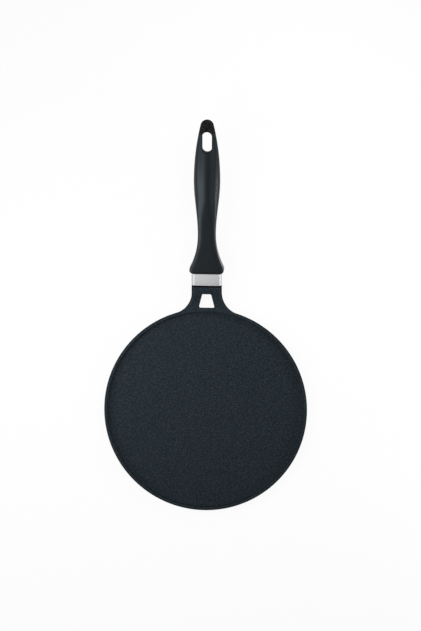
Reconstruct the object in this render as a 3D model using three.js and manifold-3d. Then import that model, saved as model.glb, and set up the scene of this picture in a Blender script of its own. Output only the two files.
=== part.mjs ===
// A tawa: a flat round griddle pan with a low rim. The plate is one casting with its neck and tang.
// A moulded handle is pushed over the tang and screwed to it from below, with a steel ferrule between.
// Millimetres, +Z up, the handle runs along +Y. The origin is the centre of the plate's underside.

import * as THREE from 'three';
import { mergeVertices } from 'three/addons/utils/BufferGeometryUtils.js';
import Module from 'manifold-3d';

const wasm = await Module();
wasm.setup();

// Driving dimensions of the plate

const PLATE_DIAMETER = 250;
const FLOOR_THICKNESS = 4.5;
const LIP_HEIGHT = 6.5; // rim top above the cooking face
const RIM_WIDTH = 3.7; // across the top of the rim
const RIM_DRAFT = THREE.MathUtils.degToRad(8); // lean of the rim's inner wall
const RIM_OUTER_ROUND = 1.5;
const RIM_INNER_ROUND = 0.7;
const FLOOR_FILLET = 1; // between the cooking face and the rim
const BASE_CORNER = 8; // round from the underside up to the plate's edge
const RING_COUNT = 5; // turned grooves in the underside
const RING_FIRST_RADIUS = 22;
const RING_PITCH = 18;
const RING_WIDTH = 3;
const RING_DEPTH = 0.6;

// Driving dimensions of the neck, its window and its tang

const NECK_LENGTH = 28.7; // from the plate's edge to the neck's end, in plan
const NECK_END_WIDTH = 36.8;
const NECK_END_HEIGHT = 15;
const NECK_END_CORNER = 4.5;
const NECK_END_LEVEL = 12.5; // middle of the neck's end above the underside
const NECK_ROOT_HEIGHT = 7.5;
const NECK_ROOT_CORNER = 2;
const NECK_ROOT_OVERLAP = 12; // how far the neck runs into the plate's rim
const NECK_FILLET = 26.5; // in plan, between the neck's sides and the plate's edge
const NECK_EDGE = 0.5; // chamfer round the neck's end
const WINDOW_INSET = 0.8; // from the plate's edge to the window
const WINDOW_LENGTH = 17.4;
const WINDOW_NEAR_WIDTH = 19.8;
const WINDOW_FAR_WIDTH = 11.2;
const WINDOW_CORNER = 1.8;
const WINDOW_EDGE = 0.4; // chamfer round both mouths of the window
const TANG_WIDTH = 16;
const TANG_THICKNESS = 6;
const TANG_CORNER = 1.5;
const TANG_LIFT = 2; // middle of the tang above the handle's axis
const TANG_DEPTH = 26; // how far the tang goes into the handle
const SPIGOT_LENGTH = 3; // on the neck and on the handle, inside the ferrule

// Driving dimensions of the ferrule

const FERRULE_LENGTH = 14.5;
const FERRULE_WALL = 1;
const SHADOW_GAP = 1.5; // groove between the neck's end and the ferrule

// Driving dimensions of the handle, with distances along its axis counted from its front face

const HANDLE_TILT = THREE.MathUtils.degToRad(10); // rise of the handle's axis
const HANDLE_LENGTH = 188.9;
const FLARE_WIDTH = 42.2;
const FLARE_CORNER = 4.5; // round of the flare's front corners in plan
const FRONT_EDGE_ROUND = 2.4; // round of the front edge above and below
const FRONT_RISE = 9.6; // from the axis up to the top
const FRONT_DROP = 10; // from the axis down to the underside
const WAIST_AT = 47.3;
const WAIST_WIDTH = 21.9;
const WAIST_RISE = 6.8;
const WAIST_DROP = 7.6;
const GRIP_AT = 115;
const GRIP_WIDTH = 32;
const GRIP_RISE = 10.4;
const GRIP_DROP = 11.4;
const NOSE_RADIUS = 8.1; // of the handle's end in plan
const NOSE_RISE = 5.6;
const NOSE_DROP = 5.8;
const FRONT_SQUARENESS = 12; // exponent of the section, where 2 is an ellipse
const WAIST_SQUARENESS = 5;
const GRIP_SQUARENESS = 2;
const ROUND_AT = 95; // where the section has become an ellipse
const SLOT_WIDTH = 11.8;
const SLOT_LENGTH = 25.6;
const SLOT_FROM_TIP = 14.6;
const SLOT_EDGE = 0.5; // chamfer round both mouths of the slot

// Driving dimensions of the screw and its washers

const SCREW_AT = 18.5; // from the handle's front face
const SCREW_DIAMETER = 5;
const SCREW_TIP_CHAMFER = 0.6;
const HEAD_DIAMETER = 9.4;
const HEAD_HEIGHT = 2.6;
const HEAD_ROUND = 0.7;
const RECESS_WIDTH = 1.2; // of each arm of the cross recess
const RECESS_SPAN = 5.2;
const RECESS_DEPTH = 1.6;
const SPRING_WASHER_DIAMETER = 8.8;
const SPRING_WASHER_THICKNESS = 1.2;
const SPRING_WASHER_SPLIT = 1;
const FLAT_WASHER_DIAMETER = 10;
const FLAT_WASHER_THICKNESS = 1;
const SEAT_THICKNESS = 2; // moulding left between the washers and the tang

// Clearances

const FIT_GAP = 0.3; // between pieces that fit over, in or against each other
const TANG_END_GAP = 0.6; // between the tang's end and the bottom of its pocket
const CUT_OVERRUN = 5; // how far a cut runs past the face it leaves through

// Fineness of the round forms

const PLATE_SEGMENTS = 72;
const HARDWARE_SEGMENTS = 28;
const WASHER_SEGMENTS = 24;
const ARC_STEPS = 5;
const CORNER_STEPS = 4;
const FILLET_STEPS = 10;
const STRETCH_STEPS = 7;
const SECTION_POINTS = 32;

// Sizes worked out from the driving dimensions

const PLATE_RADIUS = PLATE_DIAMETER / 2;
const RIM_LEVEL = FLOOR_THICKNESS + LIP_HEIGHT;
const RIM_TOP_RADIUS = PLATE_RADIUS - RIM_WIDTH;
const RIM_FOOT_RADIUS = RIM_TOP_RADIUS - LIP_HEIGHT * Math.tan(RIM_DRAFT);
const NECK_END_AT = PLATE_RADIUS + NECK_LENGTH;
const FERRULE_START = SHADOW_GAP;
const FERRULE_END = FERRULE_START + FERRULE_LENGTH;
const HANDLE_FRONT = FERRULE_END + FIT_GAP;
const TANG_END = HANDLE_FRONT + TANG_DEPTH;
const SCREW_Y = HANDLE_FRONT + SCREW_AT;
const TANG_UNDERSIDE = TANG_LIFT - TANG_THICKNESS / 2;
const TANG_TOP = TANG_LIFT + TANG_THICKNESS / 2;
const SEAT_LEVEL = TANG_UNDERSIDE - FIT_GAP - SEAT_THICKNESS;
const FLAT_WASHER_TOP = SEAT_LEVEL - FIT_GAP;
const SPRING_WASHER_TOP = FLAT_WASHER_TOP - FLAT_WASHER_THICKNESS - FIT_GAP;
const HEAD_TOP = SPRING_WASHER_TOP - SPRING_WASHER_THICKNESS - FIT_GAP;
const SCREW_HOLE_RADIUS = SCREW_DIAMETER / 2 + FIT_GAP;
const COUNTERBORE_RADIUS = Math.max(FLAT_WASHER_DIAMETER, HEAD_DIAMETER) / 2 + FIT_GAP;

// Solids and meshes

function toSolid(geometry) {
  const bare = geometry.clone();
  bare.deleteAttribute('normal');
  bare.deleteAttribute('uv');
  const merged = mergeVertices(bare, 1e-4);
  const vertProperties = new Float32Array(merged.getAttribute('position').array);
  const triVerts = new Uint32Array(merged.getIndex().array);
  return new wasm.Manifold(new wasm.Mesh({ numProp: 3, vertProperties, triVerts }));
}

function toGeometry(solid) {
  const { vertProperties, triVerts } = solid.getMesh();
  const geometry = new THREE.BufferGeometry();
  geometry.setAttribute('position', new THREE.BufferAttribute(vertProperties, 3));
  geometry.setIndex(new THREE.BufferAttribute(triVerts, 1));
  geometry.computeVertexNormals();
  return geometry;
}

function namedMesh(name, geometry, color, roughness, metalness) {
  const mesh = new THREE.Mesh(geometry, new THREE.MeshStandardMaterial({ color, roughness, metalness }));
  mesh.name = name;
  return mesh;
}

// Forms shared by the pieces

// A value that eases from one station to the next with level ends.
function ease(from, to, share) {
  return from + (to - from) * (1 - Math.cos(Math.PI * share)) / 2;
}

// Points of a round from one angle to another about a centre.
function arc(centre, radius, startAngle, endAngle, steps = ARC_STEPS) {
  const points = [];
  for (let i = 0; i <= steps; i++) {
    const angle = startAngle + (endAngle - startAngle) * i / steps;
    const x = centre.x + radius * Math.cos(angle);
    points.push(new THREE.Vector2(x, centre.y + radius * Math.sin(angle)));
  }
  return points;
}

// A section across the handle's axis: a rectangle with round corners.
function roundedRectangle(width, height, corner) {
  const radius = Math.min(corner, width / 2, height / 2);
  const across = width / 2 - radius;
  const up = height / 2 - radius;
  const centres = [[across, up], [-across, up], [-across, -up], [across, -up]];
  return centres.flatMap(([x, y], quarter) => {
    const start = quarter * Math.PI / 2;
    return arc(new THREE.Vector2(x, y), radius, start, start + Math.PI / 2, CORNER_STEPS);
  });
}

// A section with soft sides, whose rise above the axis may differ from its drop below it.
function softSection(halfWidth, rise, drop, squareness) {
  const points = [];
  for (let i = 0; i < SECTION_POINTS; i++) {
    const angle = 2 * Math.PI * i / SECTION_POINTS;
    const across = Math.cos(angle);
    const up = Math.sin(angle);
    const power = 2 / squareness;
    const height = up > 0 ? rise : drop;
    const x = Math.sign(across) * halfWidth * Math.abs(across) ** power;
    points.push(new THREE.Vector2(x, Math.sign(up) * height * Math.abs(up) ** power));
  }
  return points;
}

// A section set up at a point of the middle plane and leaning back by a tilt.
function placeSection(section, y, z, tilt = 0) {
  return section.map((p) => {
    return new THREE.Vector3(p.x, y - p.y * Math.sin(tilt), z + p.y * Math.cos(tilt));
  });
}

// A closed skin over sections of equally many points that follow each other along +Y or down -Z.
function loft(sections) {
  const count = sections[0].length;
  const last = (sections.length - 1) * count;
  const faces = [];
  for (let start = 0; start < last; start += count) {
    for (let i = 0; i < count; i++) {
      const a = start + i;
      const b = start + (i + 1) % count;
      faces.push(a, a + count, b, b, a + count, b + count);
    }
  }
  for (let i = 1; i + 1 < count; i++) {
    faces.push(0, i, i + 1, last, last + i + 1, last + i);
  }
  const geometry = new THREE.BufferGeometry();
  geometry.setFromPoints(sections.flat());
  geometry.setIndex(faces);
  return geometry;
}

// A straight bar along the handle's axis.
function bar(section, startY, endY, level = 0) {
  return loft([placeSection(section, startY, level), placeSection(section, endY, level)]);
}

// A turned form about the vertical axis from a profile of radius and height.
function turned(profile, segments) {
  return new THREE.LatheGeometry(profile, segments).rotateX(Math.PI / 2);
}

// A round bar that stands on the vertical line through a point of the handle's axis.
function post(radius, bottom, top, y) {
  const geometry = new THREE.CylinderGeometry(radius, radius, top - bottom, HARDWARE_SEGMENTS);
  return geometry.rotateX(Math.PI / 2).translate(0, y, (bottom + top) / 2);
}

// A flat closed outline with every corner rounded and grown outwards, its corners given anticlockwise.
function roundedOutline(corners, radius, grow) {
  return corners.flatMap((corner, i) => {
    const before = corners[(i + corners.length - 1) % corners.length];
    const after = corners[(i + 1) % corners.length];
    const back = before.clone().sub(corner).normalize();
    const ahead = after.clone().sub(corner).normalize();
    const halfAngle = Math.acos(back.dot(ahead)) / 2;
    const inwards = back.clone().add(ahead).normalize();
    const centre = corner.clone().addScaledVector(inwards, radius / Math.sin(halfAngle));
    const start = Math.atan2(-back.x, back.y) + Math.PI;
    return arc(centre, radius + grow, start, start + Math.PI - 2 * halfAngle, CORNER_STEPS);
  });
}

// A cutter down through a piece, with mouths that flare so that they leave chamfered edges.
// The outline grows on demand, and top and bottom give the heights of the piece's faces.
function throughCutter(outline, top, bottom, edge) {
  const level = (grow, face, above) => outline(grow).map((p) => {
    return new THREE.Vector3(p.x, p.y, face(p) + above);
  });
  return loft([
    level(edge, top, CUT_OVERRUN),
    level(edge, top, 0),
    level(0, top, -edge),
    level(0, bottom, edge),
    level(edge, bottom, 0),
    level(edge, bottom, -CUT_OVERRUN),
  ]);
}

// The plate

// The profile of one turned groove in the underside, with sloping sides.
function ringGroove(radius) {
  const half = RING_WIDTH / 2;
  return [
    new THREE.Vector2(radius - half, 0),
    new THREE.Vector2(radius - half + RING_DEPTH, RING_DEPTH),
    new THREE.Vector2(radius + half - RING_DEPTH, RING_DEPTH),
    new THREE.Vector2(radius + half, 0),
  ];
}

// The plate before its cooking face is sunk: a disc with a round lower corner and rim.
function plateBlank() {
  const profile = [new THREE.Vector2(0, 0)];
  for (let i = 0; i < RING_COUNT; i++) {
    profile.push(...ringGroove(RING_FIRST_RADIUS + i * RING_PITCH));
  }
  const corner = Math.min(BASE_CORNER, RIM_LEVEL - RIM_OUTER_ROUND);
  const cornerCentre = new THREE.Vector2(PLATE_RADIUS - corner, corner);
  profile.push(...arc(cornerCentre, corner, -Math.PI / 2, 0));
  const rimCentre = new THREE.Vector2(PLATE_RADIUS - RIM_OUTER_ROUND, RIM_LEVEL - RIM_OUTER_ROUND);
  profile.push(...arc(rimCentre, RIM_OUTER_ROUND, 0, Math.PI / 2));
  profile.push(new THREE.Vector2(0, RIM_LEVEL));
  return turned(profile, PLATE_SEGMENTS);
}

// The space inside the rim: a filleted foot, a leaning wall and a rounded mouth.
function rimSpace() {
  const lean = Math.PI / 2 - RIM_DRAFT;
  const footBack = FLOOR_FILLET * Math.tan(lean / 2);
  const footCentre = new THREE.Vector2(RIM_FOOT_RADIUS - footBack, FLOOR_THICKNESS + FLOOR_FILLET);
  const mouthOut = RIM_INNER_ROUND * Math.tan(lean / 2);
  const mouthCentre = new THREE.Vector2(RIM_TOP_RADIUS + mouthOut, RIM_LEVEL - RIM_INNER_ROUND);
  const profile = [new THREE.Vector2(0, FLOOR_THICKNESS)];
  profile.push(...arc(footCentre, FLOOR_FILLET, -Math.PI / 2, -RIM_DRAFT));
  profile.push(...arc(mouthCentre, RIM_INNER_ROUND, Math.PI - RIM_DRAFT, Math.PI / 2));
  profile.push(new THREE.Vector2(mouthCentre.x, RIM_LEVEL + CUT_OVERRUN));
  profile.push(new THREE.Vector2(0, RIM_LEVEL + CUT_OVERRUN));
  return turned(profile, PLATE_SEGMENTS);
}

// The neck's plan: straight sides that run out into the plate's edge through a fillet.
const FILLET_X = NECK_END_WIDTH / 2 + NECK_FILLET;
const FILLET_Y = Math.sqrt((PLATE_RADIUS + NECK_FILLET) ** 2 - FILLET_X ** 2);
const FILLET_TOUCH = Math.atan2(FILLET_Y, FILLET_X); // direction of the touching point

function neckHalfWidth(y) {
  const touchY = PLATE_RADIUS * Math.sin(FILLET_TOUCH);
  const fromCentre = FILLET_Y - Math.max(touchY, Math.min(y, FILLET_Y));
  return FILLET_X - Math.sqrt(NECK_FILLET ** 2 - fromCentre ** 2);
}

function neckShare(y) {
  return Math.max(0, (y - PLATE_RADIUS) / NECK_LENGTH);
}

// The neck's middle line at a distance from the plate's centre: its height and its lean. It starts
// level with the rim, then rises and leans back until it runs along the handle.
function neckCourse(y) {
  const share = neckShare(y);
  const startLevel = RIM_LEVEL - NECK_ROOT_HEIGHT / 2;
  const climb = NECK_END_LEVEL - startLevel;
  const endClimb = NECK_LENGTH * Math.tan(HANDLE_TILT);
  const level = startLevel + climb * (3 - 2 * share) * share ** 2 + endClimb * (share - 1) * share ** 2;
  const slope = (6 * climb * (1 - share) * share + endClimb * (3 * share - 2) * share) / NECK_LENGTH;
  return { level, lean: Math.atan(slope) };
}

function neckHeight(y) {
  return ease(NECK_ROOT_HEIGHT, NECK_END_HEIGHT, neckShare(y));
}

// The neck's section, which thickens towards the handle and may be drawn in at its end.
function neckSection(y, inset = 0) {
  const { level, lean } = neckCourse(y);
  const width = 2 * (neckHalfWidth(y) - inset);
  const corner = ease(NECK_ROOT_CORNER, NECK_END_CORNER, neckShare(y)) - inset;
  return placeSection(roundedRectangle(width, neckHeight(y) - 2 * inset, corner), y, level, lean);
}

function neck() {
  const stations = [PLATE_RADIUS - NECK_ROOT_OVERLAP];
  for (let i = 0; i <= FILLET_STEPS; i++) {
    const angle = FILLET_TOUCH * (1 - i / FILLET_STEPS);
    stations.push(FILLET_Y - NECK_FILLET * Math.sin(angle));
  }
  const straight = NECK_END_AT - NECK_EDGE - FILLET_Y;
  for (let i = 1; i <= CORNER_STEPS; i++) {
    stations.push(FILLET_Y + straight * i / CORNER_STEPS);
  }
  const sections = stations.map((y) => neckSection(y));
  return loft([...sections, neckSection(NECK_END_AT, NECK_EDGE)]);
}

// The height of the neck's top (side 1) or underside (side -1) over a place along it. Each pass
// brings the foot of the leaning section closer to the one that passes through that place.
function neckFace(y, side) {
  let station = y;
  let height = 0;
  for (let pass = 0; pass < 4; pass++) {
    const { level, lean } = neckCourse(station);
    const up = side * neckHeight(station) / 2;
    height = level + up * Math.cos(lean);
    station = y + up * Math.sin(lean);
  }
  return height;
}

// The window through the neck, wide beside the plate and narrow towards the handle.
function neckWindow() {
  const near = PLATE_RADIUS + WINDOW_INSET;
  const far = near + WINDOW_LENGTH;
  const corners = [
    new THREE.Vector2(-WINDOW_NEAR_WIDTH / 2, near),
    new THREE.Vector2(WINDOW_NEAR_WIDTH / 2, near),
    new THREE.Vector2(WINDOW_FAR_WIDTH / 2, far),
    new THREE.Vector2(-WINDOW_FAR_WIDTH / 2, far),
  ];
  const outline = (grow) => roundedOutline(corners, WINDOW_CORNER, grow);
  return throughCutter(outline, (p) => neckFace(p.y, 1), (p) => neckFace(p.y, -1), WINDOW_EDGE);
}

// The section of both spigots: the ferrule's bore less the fit.
function spigotSection() {
  const inset = 2 * (FERRULE_WALL + FIT_GAP);
  const corner = NECK_END_CORNER - inset / 2;
  return roundedRectangle(NECK_END_WIDTH - inset, NECK_END_HEIGHT - inset, corner);
}

function tangSection(gap = 0) {
  return roundedRectangle(TANG_WIDTH + 2 * gap, TANG_THICKNESS + 2 * gap, TANG_CORNER + gap);
}

// The handle's frame: it starts at the middle of the neck's end and leans back with the handle.
const handleFrame = new THREE.Group();
handleFrame.position.set(0, NECK_END_AT, NECK_END_LEVEL);
handleFrame.rotation.x = HANDLE_TILT;
handleFrame.updateMatrix();

function griddlePlate() {
  const onAxis = [
    bar(spigotSection(), -SPIGOT_LENGTH, FERRULE_START + SPIGOT_LENGTH),
    bar(tangSection(), -SPIGOT_LENGTH, TANG_END, TANG_LIFT),
  ];
  const hole = post(SCREW_HOLE_RADIUS, TANG_UNDERSIDE - CUT_OVERRUN, TANG_TOP + CUT_OVERRUN, SCREW_Y);
  let solid = toSolid(plateBlank()).add(toSolid(neck()));
  for (const geometry of onAxis) {
    solid = solid.add(toSolid(geometry.applyMatrix4(handleFrame.matrix)));
  }
  for (const cut of [rimSpace(), neckWindow(), hole.applyMatrix4(handleFrame.matrix)]) {
    solid = solid.subtract(toSolid(cut));
  }
  return toGeometry(solid);
}

// The ferrule

function ferrule() {
  const outside = roundedRectangle(NECK_END_WIDTH, NECK_END_HEIGHT, NECK_END_CORNER);
  const across = NECK_END_WIDTH - 2 * FERRULE_WALL;
  const inside = roundedRectangle(across, NECK_END_HEIGHT - 2 * FERRULE_WALL, NECK_END_CORNER - FERRULE_WALL);
  const bore = bar(inside, FERRULE_START - CUT_OVERRUN, FERRULE_END + CUT_OVERRUN);
  return toGeometry(toSolid(bar(outside, FERRULE_START, FERRULE_END)).subtract(toSolid(bore)));
}

// The handle

// The plan of the handle: a front corner, a hollow flank to the waist, a swell to the grip,
// a long round towards the end and a round nose. Each round touches the next.
const FLANK_DROP = (FLARE_WIDTH - WAIST_WIDTH) / 2;
const FLANK_RUN = WAIST_AT - FLARE_CORNER;
const FLANK_REACH = FLANK_RUN ** 2 + (FLANK_DROP - FLARE_CORNER) ** 2 - FLARE_CORNER ** 2;
const FLANK_RADIUS = FLANK_REACH / (2 * FLANK_DROP);
const FLANK_START = FLARE_CORNER + FLARE_CORNER * FLANK_RUN / (FLANK_RADIUS + FLARE_CORNER);
const NOSE_CENTRE = HANDLE_LENGTH - NOSE_RADIUS;
const TAIL_RUN = NOSE_CENTRE - GRIP_AT;
const TAIL_DROP = GRIP_WIDTH / 2 - NOSE_RADIUS;
const TAIL_RADIUS = (TAIL_RUN ** 2 + (GRIP_WIDTH / 2) ** 2 - NOSE_RADIUS ** 2) / (2 * TAIL_DROP);
const NOSE_START = NOSE_CENTRE + NOSE_RADIUS * TAIL_RUN / (TAIL_RADIUS - NOSE_RADIUS);

function handleHalfWidth(s) {
  if (s < FLANK_START) {
    const corner = Math.sqrt(FLARE_CORNER ** 2 - (FLARE_CORNER - s) ** 2);
    return FLARE_WIDTH / 2 - FLARE_CORNER + corner;
  }
  if (s < WAIST_AT) {
    return WAIST_WIDTH / 2 + FLANK_RADIUS - Math.sqrt(FLANK_RADIUS ** 2 - (WAIST_AT - s) ** 2);
  }
  if (s < GRIP_AT) {
    return ease(WAIST_WIDTH, GRIP_WIDTH, (s - WAIST_AT) / (GRIP_AT - WAIST_AT)) / 2;
  }
  if (s < NOSE_START) {
    return GRIP_WIDTH / 2 - TAIL_RADIUS + Math.sqrt(TAIL_RADIUS ** 2 - (s - GRIP_AT) ** 2);
  }
  return Math.sqrt(Math.max(0, NOSE_RADIUS ** 2 - (s - NOSE_CENTRE) ** 2));
}

// The height above or below the axis: it eases between four stations, is rounded at the
// front edge and closes with the nose.
function handleHeight(s, front, waist, grip, nose) {
  if (s < FRONT_EDGE_ROUND) {
    return front - FRONT_EDGE_ROUND + Math.sqrt(FRONT_EDGE_ROUND ** 2 - (FRONT_EDGE_ROUND - s) ** 2);
  }
  if (s < WAIST_AT) {
    return ease(front, waist, (s - FRONT_EDGE_ROUND) / (WAIST_AT - FRONT_EDGE_ROUND));
  }
  if (s < GRIP_AT) {
    return ease(waist, grip, (s - WAIST_AT) / (GRIP_AT - WAIST_AT));
  }
  if (s < NOSE_CENTRE) {
    return ease(grip, nose, (s - GRIP_AT) / (NOSE_CENTRE - GRIP_AT));
  }
  return nose * Math.sqrt(Math.max(0, 1 - ((s - NOSE_CENTRE) / NOSE_RADIUS) ** 2));
}

function handleRise(s) {
  return handleHeight(s, FRONT_RISE, WAIST_RISE, GRIP_RISE, NOSE_RISE);
}

function handleDrop(s) {
  return handleHeight(s, FRONT_DROP, WAIST_DROP, GRIP_DROP, NOSE_DROP);
}

// The section is boxy at the front and softens to an ellipse before the grip.
function handleSquareness(s) {
  if (s < WAIST_AT) {
    return ease(FRONT_SQUARENESS, WAIST_SQUARENESS, s / WAIST_AT);
  }
  return ease(WAIST_SQUARENESS, GRIP_SQUARENESS, Math.min(1, (s - WAIST_AT) / (ROUND_AT - WAIST_AT)));
}

function handleSection(s) {
  const section = softSection(handleHalfWidth(s), handleRise(s), handleDrop(s), handleSquareness(s));
  return placeSection(section, HANDLE_FRONT + s, 0);
}

// The share of the rise or drop that the handle's skin keeps over a point of its plan.
function handleShare(p) {
  const s = p.y - HANDLE_FRONT;
  const across = Math.min(1, Math.abs(p.x) / handleHalfWidth(s));
  return (1 - across ** handleSquareness(s)) ** (1 / handleSquareness(s));
}

function handleBody() {
  const stations = [];
  for (let i = 0; i < ARC_STEPS; i++) {
    stations.push(FLARE_CORNER * (1 - Math.cos(Math.PI / 2 * i / ARC_STEPS)));
  }
  const stretches = [FLARE_CORNER, WAIST_AT, GRIP_AT, NOSE_CENTRE];
  for (let stretch = 1; stretch < stretches.length; stretch++) {
    const start = stretches[stretch - 1];
    const length = stretches[stretch] - start;
    for (let i = 0; i < STRETCH_STEPS; i++) {
      stations.push(start + length * i / STRETCH_STEPS);
    }
  }
  for (let i = 0; i <= ARC_STEPS; i++) {
    stations.push(NOSE_CENTRE + NOSE_RADIUS * Math.sin(Math.PI / 2 * i / ARC_STEPS));
  }
  return loft(stations.map(handleSection));
}

// The hanging slot, straight through the handle with round ends.
function hangingSlot() {
  const radius = SLOT_WIDTH / 2;
  const far = new THREE.Vector2(0, HANDLE_FRONT + HANDLE_LENGTH - SLOT_FROM_TIP - radius);
  const near = new THREE.Vector2(0, far.y - SLOT_LENGTH + SLOT_WIDTH);
  const outline = (grow) => [
    ...arc(far, radius + grow, 0, Math.PI, 2 * ARC_STEPS),
    ...arc(near, radius + grow, Math.PI, 2 * Math.PI, 2 * ARC_STEPS),
  ];
  const top = (p) => handleRise(p.y - HANDLE_FRONT) * handleShare(p);
  const bottom = (p) => -handleDrop(p.y - HANDLE_FRONT) * handleShare(p);
  return throughCutter(outline, top, bottom, SLOT_EDGE);
}

function handle() {
  const spigot = bar(spigotSection(), HANDLE_FRONT - SPIGOT_LENGTH, HANDLE_FRONT + SPIGOT_LENGTH);
  const pocketStart = HANDLE_FRONT - SPIGOT_LENGTH - CUT_OVERRUN;
  const pocket = bar(tangSection(FIT_GAP), pocketStart, TANG_END + TANG_END_GAP, TANG_LIFT);
  const counterbore = post(COUNTERBORE_RADIUS, -FRONT_DROP - CUT_OVERRUN, SEAT_LEVEL, SCREW_Y);
  const hole = post(SCREW_HOLE_RADIUS, SEAT_LEVEL - CUT_OVERRUN, TANG_LIFT, SCREW_Y);
  let solid = toSolid(handleBody()).add(toSolid(spigot));
  for (const cut of [pocket, hangingSlot(), counterbore, hole]) {
    solid = solid.subtract(toSolid(cut));
  }
  return toGeometry(solid);
}

// The screw and its washers, on the screw's own upright axis

function handleScrew() {
  const radius = SCREW_DIAMETER / 2;
  const bottom = HEAD_TOP - HEAD_HEIGHT;
  const headCentre = new THREE.Vector2(HEAD_DIAMETER / 2 - HEAD_ROUND, bottom + HEAD_ROUND);
  const profile = [
    new THREE.Vector2(0, bottom),
    ...arc(headCentre, HEAD_ROUND, -Math.PI / 2, 0, CORNER_STEPS),
    new THREE.Vector2(HEAD_DIAMETER / 2, HEAD_TOP),
    new THREE.Vector2(radius, HEAD_TOP),
    new THREE.Vector2(radius, TANG_TOP - SCREW_TIP_CHAMFER),
    new THREE.Vector2(radius - SCREW_TIP_CHAMFER, TANG_TOP),
    new THREE.Vector2(0, TANG_TOP),
  ];
  const arm = new THREE.BoxGeometry(RECESS_SPAN, RECESS_WIDTH, 2 * RECESS_DEPTH).translate(0, 0, bottom);
  const crossArm = arm.clone().rotateZ(Math.PI / 2);
  const solid = toSolid(turned(profile, HARDWARE_SEGMENTS));
  return toGeometry(solid.subtract(toSolid(arm)).subtract(toSolid(crossArm)));
}

function springWasher() {
  const outer = SPRING_WASHER_DIAMETER / 2;
  const inner = SCREW_HOLE_RADIUS;
  const outerSplit = Math.asin(SPRING_WASHER_SPLIT / 2 / outer);
  const innerSplit = Math.asin(SPRING_WASHER_SPLIT / 2 / inner);
  const outline = new THREE.Shape();
  outline.absarc(0, 0, outer, outerSplit, 2 * Math.PI - outerSplit, false);
  outline.absarc(0, 0, inner, 2 * Math.PI - innerSplit, innerSplit, true);
  const depth = SPRING_WASHER_THICKNESS;
  const settings = { depth, bevelEnabled: false, curveSegments: WASHER_SEGMENTS / 2 };
  return new THREE.ExtrudeGeometry(outline, settings).translate(0, 0, SPRING_WASHER_TOP - depth);
}

function flatWasher() {
  const outline = new THREE.Shape();
  outline.absarc(0, 0, FLAT_WASHER_DIAMETER / 2, 0, 2 * Math.PI, false);
  const bore = new THREE.Path();
  bore.absarc(0, 0, SCREW_HOLE_RADIUS, 0, 2 * Math.PI, true);
  outline.holes.push(bore);
  const depth = FLAT_WASHER_THICKNESS;
  const settings = { depth, bevelEnabled: false, curveSegments: WASHER_SEGMENTS / 2 };
  return new THREE.ExtrudeGeometry(outline, settings).translate(0, 0, FLAT_WASHER_TOP - depth);
}

// The assembly

const screwAxis = new THREE.Group();
screwAxis.position.set(0, SCREW_Y, 0);
screwAxis.add(
  namedMesh('handle_screw', handleScrew(), 0xb4b5b6, 0.35, 1),
  namedMesh('spring_washer', springWasher(), 0xa2a4a6, 0.4, 1),
  namedMesh('flat_washer', flatWasher(), 0xb0b1b3, 0.4, 1),
);
handleFrame.add(
  namedMesh('ferrule', ferrule(), 0xc6c7c8, 0.35, 1),
  namedMesh('handle', handle(), 0x1f2326, 0.5, 0),
  screwAxis,
);

const tawa = new THREE.Group();
tawa.add(namedMesh('griddle_plate', griddlePlate(), 0x283036, 0.55, 0.2), handleFrame);

export default tawa;
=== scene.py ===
"""Looks of the tawa: fine meshes and finishes for the coated plate, the ferrule, the handle and its screw.

Metres, +Z up, the handle runs along +Y, and the origin is the centre of the plate's underside.
"""

import math

import bmesh
import bpy
import numpy as np
from mathutils import Matrix, Vector


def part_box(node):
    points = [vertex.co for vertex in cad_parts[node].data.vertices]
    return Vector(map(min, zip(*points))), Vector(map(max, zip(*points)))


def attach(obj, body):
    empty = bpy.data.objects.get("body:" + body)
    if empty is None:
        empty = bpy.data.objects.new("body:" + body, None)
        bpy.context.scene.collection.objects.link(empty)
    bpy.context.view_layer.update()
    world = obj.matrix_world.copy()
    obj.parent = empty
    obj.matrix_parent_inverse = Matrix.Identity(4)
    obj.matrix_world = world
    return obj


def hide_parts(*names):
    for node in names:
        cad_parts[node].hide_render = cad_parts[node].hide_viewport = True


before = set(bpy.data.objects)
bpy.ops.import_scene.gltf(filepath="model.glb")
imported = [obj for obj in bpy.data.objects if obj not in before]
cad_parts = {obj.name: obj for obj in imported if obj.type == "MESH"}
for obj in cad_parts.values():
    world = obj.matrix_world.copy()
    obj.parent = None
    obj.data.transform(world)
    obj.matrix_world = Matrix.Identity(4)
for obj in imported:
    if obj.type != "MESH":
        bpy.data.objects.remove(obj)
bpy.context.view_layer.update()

# Sizes taken from the frame

PLATE_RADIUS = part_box("griddle_plate")[1].x

# Sizes of the plate

FLOOR_THICKNESS = 0.0045
RIM_LEVEL = 0.011
RIM_WIDTH = 0.0037
RIM_DRAFT = math.radians(8)
RIM_OUTER_ROUND = 0.0015
RIM_INNER_ROUND = 0.0007
FLOOR_FILLET = 0.001
BASE_CORNER = 0.008
RING_COUNT = 5  # turned grooves in the underside
RING_FIRST_RADIUS = 0.022
RING_PITCH = 0.018
RING_WIDTH = 0.003
RING_SIDE = 0.0008
RING_DEPTH = 0.0006
FLOOR_RADII = [0.112, 0.095, 0.075, 0.055, 0.035, 0.015]  # rings of points in the cooking face

# Sizes of the neck

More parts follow.
